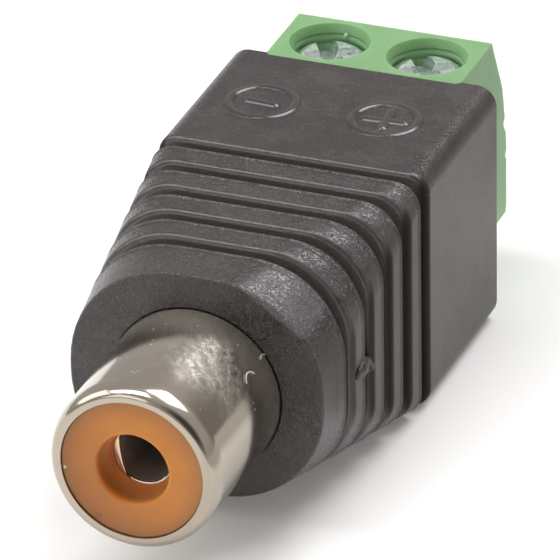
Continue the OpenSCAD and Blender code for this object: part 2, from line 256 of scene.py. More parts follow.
clear_selection()
bpy.ops.mesh.primitive_plane_add(size=1.0)
housing = start("housing_moulding")
bpy.ops.mesh.delete(type="VERT")
for y, inset in loops:
    draw_loop(y, inset)
for (y0, _), (y1, _) in zip(loops, loops[1:]):
    pick(housing, lambda co: min(abs(co.y - y0), abs(co.y - y1)) < NEAR)
    bpy.ops.mesh.bridge_edge_loops()
for y in (NOSE_Y, REAR_Y):
    pick(housing, lambda co: abs(co.y - y) < NEAR)
    bpy.ops.mesh.edge_face_add()
bpy.ops.mesh.select_all(action="SELECT")
bpy.ops.mesh.normals_make_consistent(inside=False)
bpy.ops.object.mode_set(mode="OBJECT")
longest = max((housing.data.vertices[a].co - housing.data.vertices[b].co).length
              for a, b in (edge.vertices for edge in housing.data.edges))
print("longest edge", round(longest, 2), "mm")

# %% [markdown]
# ## What is cut out of the housing
#
# The barrel's seat, the round cavity behind it, the pocket of the green block and the notch in
# the rear edge are holes of the same solid. Each is cut with a Boolean modifier by a simple
# cutter of the hole's size, as a core pin makes it in the mould.


# %% Cutters
def carve(piece, cutter):
    """Cuts one object out of another and throws the cutter away."""
    modify(piece, "BOOLEAN", object=cutter, operation="DIFFERENCE", solver="EXACT")
    bpy.data.objects.remove(cutter, do_unlink=True)


def rod(radius, y0, y1):
    """A round cutter along Y."""
    clear_selection()
    bpy.ops.mesh.primitive_cylinder_add(
        vertices=128, radius=radius, depth=y1 - y0,
        location=(0, (y0 + y1) / 2, 0), rotation=(math.pi / 2, 0, 0),
    )
    bpy.ops.object.transform_apply(location=True, rotation=True, scale=True)
    return bpy.context.object


def block(low, high):
    """A square cutter between its lowest and highest corner."""
    clear_selection()
    bpy.ops.mesh.primitive_cube_add(size=1.0, location=[(a + b) / 2 for a, b in zip(low, high)])
    bpy.context.object.scale = [b - a for a, b in zip(low, high)]
    bpy.ops.object.transform_apply(location=True, rotation=True, scale=True)
    return bpy.context.object


print("cutters ready")

# %% The housing's holes
# radius, start and end of the round ones, lowest and highest corner of the square ones
SEAT, GRIP, CAVITY = (4.27, 7.0, 8.66), (4.02, 8.0, 10.35), (4.55, 10.28, 24.42)
POCKET = ((-4.45, 24.4, -4.22), (4.45, 31.2, 4.65))
NOTCH = ((-5.02, 30.68, -4.22), (5.02, 31.4, 7.0))
NOTCH_CHAMFER = 0.21

for hole in (SEAT, GRIP, CAVITY):
    carve(housing, rod(*hole))
carve(housing, block(*POCKET))
notch = block(*NOTCH)
only(notch)
bpy.ops.object.mode_set(mode="EDIT")
bpy.ops.mesh.select_mode(type="EDGE")
pick(notch, lambda co: co.y < REAR_Y)
# of the cutter's front face, only the two upright edges are broken
cutter = bmesh.from_edit_mesh(notch.data)
for edge in cutter.edges:
    a, b = (vertex.co for vertex in edge.verts)
    edge.select = max(a.y, b.y) < REAR_Y and abs(a.x - b.x) < NEAR
bmesh.update_edit_mesh(notch.data)
bpy.ops.mesh.bevel(offset=NOTCH_CHAMFER, segments=1, affect="EDGES")
bpy.ops.object.mode_set(mode="OBJECT")
carve(housing, notch)
smooth_and_settle(housing, 38.0)
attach(housing, BODY)
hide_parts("housing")

# %% [markdown]
# ## The raised pole signs
#
# Two rings stand up from the top, with a minus and a plus in them, which say which wire goes
# where. They are part of the moulding, cut into the mould with a worn ball cutter, so each line
# is a low, wide ridge like a lens: only its front slope catches the lamp. The ring's profile is
# drawn as a row of circles that are bridged round and round. A bar starts as the cap of a large
# ball, and half of the cap is pulled away from the other half.


# %% Turned forms
def turned(name, profile, centre, upright=False, sides=96):
    """A ring whose closed profile is given as radius and height along Y, or Z if upright."""
    clear_selection()
    bpy.ops.mesh.primitive_plane_add(size=1.0)
    piece = start(name)
    bpy.ops.mesh.delete(type="VERT")
    tilt = (0, 0, 0) if upright else (math.pi / 2, 0, 0)
    axis = Vector((0, 0, 1)) if upright else Vector((0, 1, 0))
    centre = Vector(centre)

    def at(co, point):
        rise = (co - centre).dot(axis)
        return math.hypot(((co - centre) - rise * axis).length - point[0], rise - point[1]) < NEAR

    for radius, height in profile:
        bpy.ops.mesh.primitive_circle_add(
            vertices=sides, radius=radius, location=centre + height * axis, rotation=tilt
        )
    for first, second in zip(profile, profile[1:] + profile[:1]):
        pick(piece, lambda co: at(co, first) or at(co, second))
        bpy.ops.mesh.bridge_edge_loops()
    bpy.ops.mesh.select_all(action="SELECT")
    bpy.ops.mesh.normals_make_consistent(inside=False)
    return piece


print("turned forms ready")

# %% Rings and bars
BLOCK_TOP = TOP[1]
# radius of the cutter's ball, height of the ridge that it left, and how deep its foot goes
RING_BALL, RING_HIGH, RING_FOOT = 0.36, 0.1, 0.02
BAR_BALL, BAR_HIGH, BAR_FOOT = 0.42, 0.125, 0.03
LENS_STEPS = 7
# the signs lie near z = 6, so all that is lower than this belongs to the new ball
NEW_BALL = 3


def ring(name, centre, radius):
    """A ring whose section is the cap of a ball."""
    reach = math.acos(1 - (RING_HIGH + RING_FOOT) / RING_BALL)
    turns = [reach * (i / LENS_STEPS - 1) for i in range(2 * LENS_STEPS + 1)]
    lens = [(radius + RING_BALL * math.sin(a), RING_HIGH - RING_BALL * (1 - math.cos(a)))
            for a in turns]
    return turned(name, lens, (*centre, BLOCK_TOP), upright=True)


def bar(piece, a, b):
    """A low bar with round ends from a to b, added to the piece that is open."""
    along = Vector(b) - Vector(a)
    bpy.ops.mesh.primitive_uv_sphere_add(segments=48, ring_count=80, radius=BAR_BALL)
    pick(piece, lambda co: co.z < BAR_BALL - BAR_HIGH - BAR_FOOT)
    bpy.ops.mesh.delete(type="VERT")
    # half of the cap moves to the bar's far end
    pick(piece, lambda co: co.z < NEW_BALL and co.x > 0.001)
    bpy.ops.transform.translate(value=(along.length, 0, 0))
    pick(piece, lambda co: co.z < NEW_BALL)
    bpy.ops.mesh.fill_holes(sides=0)
    pick(piece, lambda co: co.z < NEW_BALL)
    bpy.ops.transform.rotate(
        value=-math.atan2(along.y, along.x), orient_axis="Z", center_override=(0, 0, 0)
    )
    bpy.ops.transform.translate(value=(*a, BLOCK_TOP + BAR_HIGH - BAR_BALL))


# centre and radius of each ring, and the two ends of each bar, as seen from above
sign_minus = ring("sign_minus", (-3.3, 25.85), 1.62)
bar(sign_minus, (-3.98, 25.8), (-2.62, 25.7))
smooth_and_settle(sign_minus, 60.0)
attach(sign_minus, BODY)
sign_plus = ring("sign_plus", (2.9, 26.0), 1.61)
bar(sign_plus, (1.98, 25.8), (3.88, 25.91))
bar(sign_plus, (2.9, 26.95), (3.04, 25.15))
smooth_and_settle(sign_plus, 60.0)
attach(sign_plus, BODY)

# %% [markdown]
# ## The plated barrel
#
# The barrel is a rolled tube whose front is spun over into a rim that holds the insert. The
# metal flows there, so from the flat rim to the straight length the lip is one easy curve, near
# to a quarter of an ellipse. On a mirror that curve decides where the lamps show, so it is drawn
# with twenty steps, and the rest of the tube with single ones.

# %% Barrel
# radii: outside and inside, the rim's hole and its flat, held in the housing, the flange
OUTSIDE, INSIDE, RIM_HOLE, RIM_FLAT, HELD, FLANGE = 4.2, 3.84, 3.48, 3.70, 4.0, 4.5
# along Y: how thick the rim is, and where the held part, the flange and the tube end
RIM_BACK, HELD_Y, FLANGE_Y, TUBE_END = 0.36, 8.2, 10.3, 11.1
LIP_RISE, LIP_RUN, LIP_STEPS = 0.50, 1.0, 20
bends = [math.pi / 2 * i / LIP_STEPS for i in range(LIP_STEPS + 1)]
lip = [(RIM_FLAT + LIP_RISE * math.sin(a), LIP_RUN * (1 - math.cos(a))) for a in bends]
barrel = turned("plated_tube", [
    (INSIDE, RIM_BACK), (RIM_HOLE, RIM_BACK), (RIM_HOLE, 0.06), (3.50, 0.02), (3.54, 0.004), *lip,
    (OUTSIDE, HELD_Y), (HELD, HELD_Y), (HELD, FLANGE_Y), (FLANGE, FLANGE_Y),
    (FLANGE, TUBE_END), (INSIDE, TUBE_END),
], (0, 0, 0), sides=160)
smooth_and_settle(barrel, 40.0)
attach(barrel, BODY)
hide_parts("barrel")

# %% [markdown]
# ## Copies with softer edges
#
# The green block and the screws have the right shape already, but their edges are sharp. Their
# meshes arrive as loose triangles, so a copy is welded first, its flat areas are dissolved
# into single faces, and then a Bevel modifier breaks the edges, as moulding and tumbling do.


# %% Softened copies of solids
# points of a solid's mesh that are nearer than this, in metres, are one
WELD = 0.000002
# areas as flat as this, in degrees, become one face; edges sharper than this are broken
FLAT, SHARP, BEVEL_STEPS = 1.5, 30.0, 2


def welded_copy(node, name, flat):
    """Copies a solid, welds its triangles and dissolves what is flat to some degrees."""
    piece = bpy.data.objects.new(name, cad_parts[node].data.copy())
    piece.data.name = name
    bpy.context.scene.collection.objects.link(piece)
    only(piece)
    bpy.ops.object.mode_set(mode="EDIT")
    bpy.ops.mesh.select_all(action="SELECT")
    bpy.ops.mesh.remove_doubles(threshold=WELD)
    bpy.ops.mesh.dissolve_limited(angle_limit=math.radians(flat))
    return piece


def softened(node, name, width, body=BODY):
    """A copy of a solid whose edges are broken by a bevel of this width in millimetres."""
    piece = welded_copy(node, name, FLAT)
    bpy.ops.object.mode_set(mode="OBJECT")
    piece.scale = (1 / MM, 1 / MM, 1 / MM)
    bpy.ops.object.transform_apply(location=False, rotation=False, scale=True)
    modify(
        piece, "BEVEL",
        width=width, segments=BEVEL_STEPS, limit_method="ANGLE",
        angle_limit=math.radians(SHARP), use_clamp_overlap=True,
    )
    smooth_and_settle(piece, 40.0)
    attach(piece, body)
    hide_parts(node)
    return piece


# %% The green block with its fine rings, and the screws
# place and radius of the wells, and height and thickness of the rings on their walls
WELL_X, WELL_Y, WELL_RADIUS = 2.5, 33.05, 1.8
WELL_RINGS = ((5.48, 0.055), (5.02, 0.045))

green = softened("terminal_block", "green_block", 0.07)
# the stepped core of the mould left two fine rings on the wall of each well
for x in (-WELL_X, WELL_X):
    for height, thick in WELL_RINGS:
        clear_selection()
        bpy.ops.mesh.primitive_torus_add(
            location=(x * MM, WELL_Y * MM, height * MM), major_segments=96, minor_segments=12,
            major_radius=WELL_RADIUS * MM, minor_radius=thick * MM,
        )
        bpy.ops.object.transform_apply(location=True, rotation=True, scale=True)
        bpy.ops.object.shade_smooth()
        carve(green, bpy.context.object)
report(green)
screws = [
    softened("screw_minus", "zinc_screw_minus", 0.05, body="screw_minus"),
    softened("screw_plus", "zinc_screw_plus", 0.05, body="screw_plus"),
]

# %% [markdown]
# ## The sprung contact, with one leaf pressed in
#
# Four leaves of thin sheet stand behind the insert's bore and grip the plug's pin. On this
# socket the left leaf has been pressed in by a badly aimed plug, so its front edge is a straight
# line instead of an arc. The copy of the contact has points only at the ends of each leaf,
# so moving the front points of one leaf bends it from its root, as a finger would. The leaves
# stand closer together than the solid's plain slits, so those are narrowed in the same way.
#
# In front of the leaves the bore of the insert ends in a sloping ledge, which guides the pin
# past their edges. It hides most of each edge, so that only a thin bright line shows.


# %% Narrower slits
# the slits' turns in degrees, where they end, and the share of their width that stays
SLITS, SLIT_END, SLIT_SHARE = (55.0, 145.0), 7.45, 0.05
# a point within so many millimetres of a slit's middle lies on its wall
SLIT_REACH = 0.1


def squeeze(direction, share, centre):
    """Flattens what is selected along a direction, towards a centre."""
    basis = Matrix((direction, (0, 1, 0), direction.cross(Vector((0, 1, 0))))).transposed()
    bpy.ops.transform.resize(
        value=(share, 1.0, 1.0), orient_type="GLOBAL", orient_matrix=basis,
        orient_matrix_type="GLOBAL", center_override=centre,
    )


contact = welded_copy("centre_contact", "sprung_contact", 1.0)
bpy.ops.mesh.select_mode(type="VERT")
for slit in SLITS:
    a = math.radians(slit)
    across = Vector((-math.sin(a), 0.0, math.cos(a)))
    count = pick(contact, lambda co: abs(co.dot(across)) < SLIT_REACH * MM
                 and co.y < SLIT_END * MM)
    squeeze(across, SLIT_SHARE, (0, 0, 0))
    print(count, "points of the slits at", slit, "degrees")


# %% The pressed leaf
# where the leaves' front edges lie along Y, and how exactly
LEAF_FRONT, FRONT_REACH = 1.55, 0.05
# the left leaf's middle and half width in degrees, and the share of its curve that stays
LEAF_TURN, LEAF_HALF, PRESSED_SHARE = 190.0, 43, 0.25
# first the inner and then the outer points of its edge: the two radii that they lie between, and
# how far from the axis the chord is that they are pressed to
EDGES = ((1.3, 1.48, 1.04), (1.48, 1.7, 1.38))
# the inner points of the leaves and of the pressed one lie within these, and the wear is so wide
INNER, PRESSED_INNER, EDGE_WEAR = 1.45, 1.2, 0.05
middle = math.radians(LEAF_TURN)
outward = Vector((math.cos(middle), 0.0, math.sin(middle)))


def on_front(co):
    """Whether a point lies on the front edge of a leaf."""
    return abs(co.y - LEAF_FRONT * MM) < FRONT_REACH * MM


def on_leaf(co):
    """Whether a point lies on the front edge of the left leaf."""
    turn = math.degrees(math.atan2(co.z, co.x)) % 360
    return on_front(co) and abs(turn - LEAF_TURN) < LEAF_HALF


picked = 0
for low, high, chord in EDGES:
    picked += pick(contact, lambda co: on_leaf(co) and low < math.hypot(co.x, co.z) / MM < high)
    squeeze(outward, PRESSED_SHARE, outward * chord * MM + Vector((0, LEAF_FRONT * MM, 0)))
# the sheet's inner front edges are rounded by wear
pick(contact, lambda co: on_front(co) and (
    co.dot(outward) < PRESSED_INNER * MM if on_leaf(co)
    else math.hypot(co.x, co.z) < INNER * MM
))
bpy.ops.mesh.bevel(offset=EDGE_WEAR * MM, segments=3, affect="EDGES", clamp_overlap=False)
bpy.ops.object.mode_set(mode="OBJECT")
smooth(contact, 40.0)
print(picked, "points of the pressed leaf")
report(contact)
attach(contact, BODY)
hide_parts("centre_contact")

# %% The ledge in the bore
# its slope from the bore's wall down to the leaves, as radius and depth
ledge = turned("bore_ledge", [
    (1.80, 0.50), (1.748, 0.50), (1.735, 0.70), (1.70, 0.95), (1.64, 1.18), (1.56, 1.36),
    (1.49, 1.46), (1.455, 1.50), (1.465, 1.525), (1.80, 1.53),
], (0, 0, 0))
smooth_and_settle(ledge, 60.0)
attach(ledge, BODY)

# %% [markdown]
# ## Marks of making and of use
#
# A few small things tell that this is a real, handled piece: a lump and a nub of plastic that
# crept out beside the first rib, the pale stub of a sprue on the wall of the left well, and lint
# on the barrel. Each lump is a ball that is squashed and made uneven with a seeded random shift,
# so that it comes out the same every time. A hair of lint is a very thin torus, cut open and
# closed at its two ends.


# %% Lumps, sprue and lint
# half the thickness of a hair, and how far from the barrel's axis a hair lies
HAIR, HAIR_OUT = 0.024, 4.23


def lump(name, place, size, seed):
    """An uneven ball at a place, with its three half sizes."""
    clear_selection()
    bpy.ops.mesh.primitive_ico_sphere_add(subdivisions=4, radius=1.0)
    piece = start(name)
    bpy.ops.transform.resize(value=size, center_override=(0, 0, 0))
    bpy.ops.transform.vertex_random(offset=0.5 * min(size), uniform=0.2, normal=1.0, seed=seed)
    bpy.ops.mesh.vertices_smooth(factor=0.5, repeat=4)
    bpy.ops.transform.translate(value=place)
    bpy.ops.object.mode_set(mode="OBJECT")
    bpy.ops.object.shade_smooth()
    settle(piece)
    report(piece)
    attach(piece, BODY)
    return piece


def lint(name, turn, y, radius, sweep):
    """A hair curled to a part of a circle, which lies on the barrel turned from the top."""
    clear_selection()
    bpy.ops.mesh.primitive_torus_add(
        major_radius=radius, minor_radius=HAIR, major_segments=64, minor_segments=8
    )
    piece = start(name)
    # what stays lies round the side that faces up the barrel
    pick(piece, lambda co: abs(math.degrees(math.atan2(co.y, -co.x))) > sweep / 2)
    bpy.ops.mesh.delete(type="VERT")
    bpy.ops.mesh.select_all(action="SELECT")
    bpy.ops.mesh.fill_holes(sides=0)
    bpy.ops.mesh.select_all(action="SELECT")
    bpy.ops.mesh.normals_make_consistent(inside=False)
    bpy.ops.object.mode_set(mode="OBJECT")
    a = math.radians(turn)
    piece.rotation_euler = (0.0, a, 0.0)
    piece.location = (HAIR_OUT * math.sin(a), y, HAIR_OUT * math.cos(a))
    bpy.ops.object.transform_apply(location=True, rotation=True, scale=True)
    bpy.ops.object.shade_smooth()
    settle(piece)
    report(piece)
    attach(piece, BODY)
    return piece


# place, half sizes and seed of each lump
rib_lump = lump("rib_lump", (6.46, 13.1, -0.2), (0.30, 0.95, 0.46), 4)
rib_nub = lump("rib_nub", (6.66, 13.72, -0.42), (0.16, 0.34, 0.13), 9)
sprue = lump("well_sprue", (-2.34, 34.84, 5.5), (0.13, 0.10, 0.11), 7)
# turn from the top in degrees, place along Y, radius and sweep of each hair
hairs = [lint("lint_long", 60.7, 6.12, 0.58, 125), lint("lint_short", 57, 8.0, 0.3, 110)]

# %% [markdown]
# ## Shader maths as Python
#
# Materials here are worked out by formulas: a grain is noise, squeezed and mixed. Written as
# nodes, each sum is a Math node and two links. A small class around a socket turns `a * 2 + b`
# into those nodes, so a material reads like its recipe. Its colour is painted in coats: a ground,
# then one colour after the other, each through a mask that says where it lies.


# %% Sockets that can be added and multiplied
class Wire:
    """One output socket. Arithmetic on it adds Math nodes to its tree."""

    def __init__(self, shader, socket):
        self.shader = shader
        self.socket = socket

    def math(self, operation, a, b=0.0):
        return self.shader.node("ShaderNodeMath", {"operation": operation}, {0: a, 1: b})

    def __add__(self, other):
        return self.math("ADD", self, other)

    def __radd__(self, other):
        return self.math("ADD", other, self)

    def __sub__(self, other):
        return self.math("SUBTRACT", self, other)

    def __rsub__(self, other):
        return self.math("SUBTRACT", other, self)

    def __mul__(self, other):
        return self.math("MULTIPLY", self, other)

    def __rmul__(self, other):
        return self.math("MULTIPLY", other, self)

    def most(self, other):
        return self.math("MAXIMUM", self, other)

    def absolute(self):
        return self.math("ABSOLUTE", self)

    def band(self, low, high, soft):
        """1 between low and high, falling off over soft on both sides."""
        return self.step(low - soft, low + soft) * (1 - self.step(high - soft, high + soft))

    def step(self, low, high):
        """0 below low, 1 above high, smooth between them."""
        return self.shader.node(
            "ShaderNodeMapRange",
            {"interpolation_type": "SMOOTHSTEP"},
            {"Value": self, "From Min": low, "From Max": high, "To Min": 0.0, "To Max": 1.0},
        )


print("sums of sockets ready")


# %% Recipes for nodes
def linear(red, green, blue):
    """The linear colour of an sRGB one given as 0 to 255."""
    out = []
    for value in (red, green, blue):
        c = value / 255
        out.append(c / 12.92 if c <= 0.04045 else ((c + 0.055) / 1.055) ** 2.4)
    return tuple(out)


class Shader:
    """The nodes of a new material, or of a world, filled by expressions."""

    def __init__(self, name, kind="materials", shading="Principled BSDF", place="Object"):
        self.owner = getattr(bpy.data, kind).new(name)
        self.owner.use_nodes = True
        self.tree = self.owner.node_tree
        self.shading = self.tree.nodes[shading]
        self.place = self.node("ShaderNodeTexCoord", {}, {}, place)

    def node(self, kind, settings, inputs, output=0):
        """Any node: its type, its settings, its sockets' values or links, and what it gives."""
        made = self.tree.nodes.new(kind)
        for key, value in settings.items():
            setattr(made, key, value)
        for key, value in inputs.items():
            self.feed(made.inputs[key], value)
        return Wire(self, made.outputs[output])

    def feed(self, socket, value):
        if isinstance(value, Wire):
            self.tree.links.new(value.socket, socket)
        elif socket.type == "RGBA" and len(value) == 3:
            socket.default_value = (*value, 1.0)
        else:
            socket.default_value = value

    def set(self, **values):
        """Feeds the sockets of the node that shades, and prints what was made."""
        for key, value in values.items():
            self.feed(self.shading.inputs[key.replace("_", " ")], value)
        print(self.owner.name, "has", len(self.tree.nodes), "nodes")
        return self.owner

    def axes(self):
        """The three coordinates of a point, in metres."""
        split = self.node("ShaderNodeSeparateXYZ", {}, {0: self.place}).socket.node
        return [Wire(self, split.outputs[i]) for i in range(3)]

    def near(self, spot, inner, outer):
        """1 within inner metres of a spot, 0 beyond outer."""
        far = self.node(
            "ShaderNodeVectorMath", {"operation": "DISTANCE"}, {0: self.place, 1: spot}, "Value"
        )
        return 1 - far.step(inner, outer)

    def noise(self, scale, detail=2.0, roughness=0.5, place=None, distortion=0.0):
        """Noise whose features are about 1 / scale metres across."""
        return self.node("ShaderNodeTexNoise", {}, {
            "Vector": place or self.place,
            "Scale": scale,
            "Detail": detail,
            "Roughness": roughness,
            "Distortion": distortion,
        })

    def cells(self, scale):
        """The distance to the nearest of points strewn 1 / scale metres apart."""
        inputs = {"Vector": self.place, "Scale": scale}
        return self.node("ShaderNodeTexVoronoi", {"feature": "F1"}, inputs, "Distance")

    def stretched(self, scale, turn):
        """Object coordinates turned, then scaled: a small scale draws a pattern out."""
        return self.node(
            "ShaderNodeMapping",
            {"vector_type": "TEXTURE"},
            {"Vector": self.place, "Rotation": turn, "Scale": [1 / s for s in scale]},
        )

    def blend(self, mask, below, above):
        """A colour that goes from below to above with the mask."""
        return self.node(
            "ShaderNodeMix", {"data_type": "RGBA"}, {0: mask, 6: below, 7: above}, 2
        )

    def painted(self, ground, *coats):
        """A ground colour with coats over it, each as a mask and an sRGB colour or a socket."""
        colour = linear(*ground)
        for mask, coat in coats:
            above = coat if isinstance(coat, Wire) else linear(*coat)
            colour = self.blend(mask, colour, above)
        return colour

    def bump(self, height, distance, strength):
        inputs = {"Height": height, "Distance": distance, "Strength": strength}
        return self.node("ShaderNodeBump", {}, inputs)


def dress(piece, material):
    """Puts a material in all slots of a piece."""
    mesh = piece.data
    if not mesh.materials:
        mesh.materials.append(material)
    for i in range(len(mesh.materials)):
        mesh.materials[i] = material


def finish_node(node, material):
    """Gives a CAD node its finished material."""
    dress(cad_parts[node], material)


print("shader helpers ready")

# %% [markdown]
# ## Black moulded plastic
#
# The housing is a dark, slightly glossy plastic. Its own colour is nearly black, and what makes
# it look grey is the pale floor and the lamps mirrored at a shallow angle; the flat sides also get
# a painted lighter, browner reflection. The mould was spark eroded, so the skin has a fine leather
# grain that shows up where a highlight falls. The grain is deepest on the round right corner, which
# carries a painted pale sheen, and nearly gone on the plain rear block. The grooves and the front
# walls of the ribs are painted lighter, as painted light in their shade, and on the sides the
# grooves are painted darker, as painted shade. The ribs' edges are rubbed bright, and around each
# raised sign runs a painted dark line of shade.
#
# All of that follows the form, so each mask is made from the place of a point in metres: a band
# across each rib that repeats with the ribs' pitch, a distance to a spot, or a step along one
# axis. The masks of the ribs come first, and then the skin and the coats of colour.


# %% Where the ribs and the grooves are
# the front edge of the first rib behind a groove, and how far behind it the pattern starts again
FIRST_RIB = (BLOCK_Y - (GROOVES - 1) * PITCH) * MM
BEAT_END = 0.00102


def rib_masks(s):
    """The flat sides, and what repeats with the ribs."""
    x, y, _ = s.axes()
    # place within a rib and its groove: 0 at the rib's front edge, negative in the groove
    beat = s.node("ShaderNodeMath", {"operation": "WRAP"}, {
        0: y - FIRST_RIB, 1: BEAT_END, 2: BEAT_END - PITCH * MM,
    })
    ribbed = y.step(0.0097, 0.0099) * (1 - y.step(0.0214, 0.0216))
    side = x.absolute().step(0.0062, 0.0066)
    lined = ribbed * (1 - side)
    broken = s.noise(1700.0, 3.0, 0.6)
    worn = beat.band(0.00010, 0.00020, 0.00004) * lined * broken.step(0.25, 0.6)
    flash = beat.band(-0.00102, -0.00092, 0.00003) * lined * broken.step(0.4, 0.56)
    # the grooves' colour is painted: lighter on top as painted light, darker on the sides as
    # painted shade
    groove = beat.band(-0.00080, -0.00002, 0.00005) * ribbed
    # the front walls of the ribs are painted lighter, a painted light in the grooves' shade
    painted_light_wall = beat.band(-0.00012, 0.00003, 0.00002) * lined
    polished = beat.band(-0.00002, 0.00026, 0.00006) * ribbed
    # on the right side the rounded front of each rib is painted dark, a painted reflection of the
    # dark end of the room
    turned_away = beat.band(-0.0002, 0.0004, 0.00018) * ribbed * side
    return side, worn, flash, groove, painted_light_wall, polished, turned_away


print("the ribs repeat every", PITCH, "mm")


# %% Housing plastic
def black_plastic():
    s = Shader("housing_black")
    x, y, z = s.axes()
    side, worn, flash, groove, painted_light_wall, polished, turned_away = rib_masks(s)
    by_lump = s.near((0.00645, 0.01305, -0.00025), 0.0004, 0.0014)
    # the signs: their crests stand up from the block, and their feet get a painted dark line of
    # shade
    on_block = y.step(0.0215, 0.0225)
    crest = z.step(0.00602, 0.00606) * on_block
    foot = z.step(0.006004, 0.006016) * on_block - crest
    # leather: noise folded about its middle leaves a net of creases
    folds = (s.noise(4300.0, 2.0, 0.5, distortion=0.6) - 0.5).absolute().step(0.0, 0.1)
    pebbles = s.noise(8600.0, 2.0, 0.55)
    grain = folds * 0.8 + pebbles * 0.35
    # the mould is plainer behind the ribs and on the flat sides
    behind_ribs = y.step(0.0205, 0.0212)
    plain = behind_ribs.most(x.absolute().step(0.0060, 0.0064) * 0.7)
    # on the round right corner the grain is deepest, and a pale painted sheen lies there: how far
    # out a point is in the direction that this corner faces, less the form's growth along Y
    sheen_corner = (x * 0.574 + z * 0.819 - (y - 0.0095) * 0.177).step(0.00606, 0.00632)
    sheen_corner = sheen_corner * (1 - y.step(0.0112, 0.0125) * 0.7) * (1 - behind_ribs)
    # the side of the nose stays dull and is painted darker, a painted shade; the foot of its face
    # is painted lighter
    dull = s.near((0.0063, 0.0098, 0.0012), 0.0006, 0.0030)
    face_foot_lighter = (0.0 - z).step(0.0010, 0.0045) * (1 - y.step(0.0083, 0.0086))
    height = grain * (1 - plain.most(polished * 1.2) * 0.7) * (1 - crest) * (1 + sheen_corner * 0.6)
    smudge = s.noise(230.0, 3.0, 0.6).step(0.38, 0.66)
    film = s.noise(620.0, 6.0, 0.74).step(0.46, 0.68)
    dust = s.cells(1500.0).step(0.07, 0.03) * s.noise(420.0, 1.0).step(0.52, 0.6)
    colour = s.painted(
        (47, 42, 42),
        (smudge, (57, 51, 51)),
        (film * 0.4, (80, 73, 72)),
        # the flat sides are painted lighter and browner, a painted reflection
        (side * 0.4, (60, 50, 43)),
        # the painted pale sheen on the round right corner
        (sheen_corner * (0.6 + smudge * 0.3), (108, 104, 107)),
        # painted shade on the side of the nose, and a lighter foot of its face
        (dull * 0.5, (34, 30, 29)),
        (face_foot_lighter * 0.6, (78, 72, 69)),
        # painted light in the grooves on top and on the ribs' front walls, painted shade in the
        # grooves on the sides
        (groove * (1 - side), (64, 61, 60)),
        (groove * side, (32, 28, 27)),
        (painted_light_wall, (92, 88, 86)),
        # a painted dark reflection on the right side's rib fronts, and darker round the lump
        (turned_away.most(by_lump) * 0.85, (27, 23, 21)),
        (crest * 0.12, (104, 98, 96)),
        # the painted dark line of shade round the signs' feet
        (foot * 0.8, (26, 23, 22)),
        (worn * 0.15, (150, 145, 141)),
        (flash * 0.15, (150, 143, 134)),
        (dust * 0.6, (150, 143, 136)),
    )
    return s.set(
        Base_Color=colour,
        Roughness=0.22 + smudge * 0.06 + film * 0.05 + dust * 0.3 + side * 0.15 - crest * 0.1
        + turned_away * (0.6 - by_lump * 0.6) + dull * 0.25,
        Specular_IOR_Level=0.66,
        Normal=s.bump(height, 0.00003, 0.85),
    )


HOUSING = black_plastic()
for piece in (housing, sign_minus, sign_plus, rib_lump, rib_nub):
    dress(piece, HOUSING)
finish_node("housing", HOUSING)

# %% [markdown]
# ## Nickel plate
#
# The barrel is rolled brass with a bright nickel plate. It mirrors the housing's nose, the floor
# and the lamps. Handling has left a patch of fine scuffs on its upper side, where the mirror
# turns hazy, and a thin brown film on the rim; the lower right is darker and browner. A mirror has
# no colour of its own to speak of, so its wear is drawn mostly with Roughness, and with Metallic
# where a film or dust covers it.


# %% Nickel
def nickel():
    s = Shader("plated_barrel")
    x, y, z = s.axes()
    # the scuffed patch lies on the upper right, half way along
    around = s.near((0.0024, 0.0044, 0.0034), 0.0009, 0.0033)
    wisps = s.noise(2800.0, 6.0, 0.7, distortion=0.9)
    strokes = s.noise(2600.0, 3.0, 0.6, place=s.stretched((1.0, 0.25, 1.0), (0.3, 0.0, 0.6)))
    scuffs = (wisps * 0.6 + strokes * 0.4).step(0.38, 0.7) * around
    near_nose = y.step(0.0052, 0.0080)
    haze = s.noise(350.0, 3.0, 0.6)
    specks = s.cells(2300.0).step(0.14, 0.07) * s.noise(700.0, 1.0).step(0.5, 0.58)
    # the rim carries a thin brown film, and the lower right is darker and browner
    rim = 1 - y.step(0.00002, 0.0003)
    low = (x * 0.8 - z * 0.6).step(0.0008, 0.0034)
    colour = s.painted(
        (196, 187, 174),
        (haze.step(0.35, 0.65), (208, 199, 187)),
        (around * 0.3, (186, 182, 178)),
        (rim.most(low), s.painted((178, 168, 155), (low, (166, 156, 143)))),
        (scuffs * 0.5, (232, 229, 225)),
        (near_nose * 0.3, (168, 158, 148)),
        (specks * 0.5, (206, 202, 194)),
    )
    return s.set(
        Base_Color=colour,
        Metallic=1 - specks * 0.7 - near_nose * 0.22 - scuffs * 0.3,
        Roughness=0.1 + haze * 0.06 + around * 0.05 + scuffs * 0.2 + near_nose * 0.08,
        Normal=s.bump(wisps * 0.12 + scuffs * 0.3, 0.000008, 0.5),
    )


NICKEL = nickel()
finish_node("barrel", NICKEL)
dress(barrel, NICKEL)

# %% [markdown]
# ## Plastics and metals of the smaller parts
#
# The orange insert and the green block are unfilled plastics, and some light goes through them,
# which subsurface scattering with a radius of a few tenths of a millimetre gives. The wall of the
# bore is also painted brighter and redder than the face, as painted light in its shade. The metals
# differ in tint and in how much haze they carry.
# The screws were tumbled against each other after plating, so their faces are dented and throw
# back broken pieces of the room. The contact is bright only on its cut edges.


# %% Plain plastics and metals
# how much darker the mottle of a plastic and the haze of a metal are than the rest
PLASTIC_DARK, METAL_DARK = 0.9, 0.86


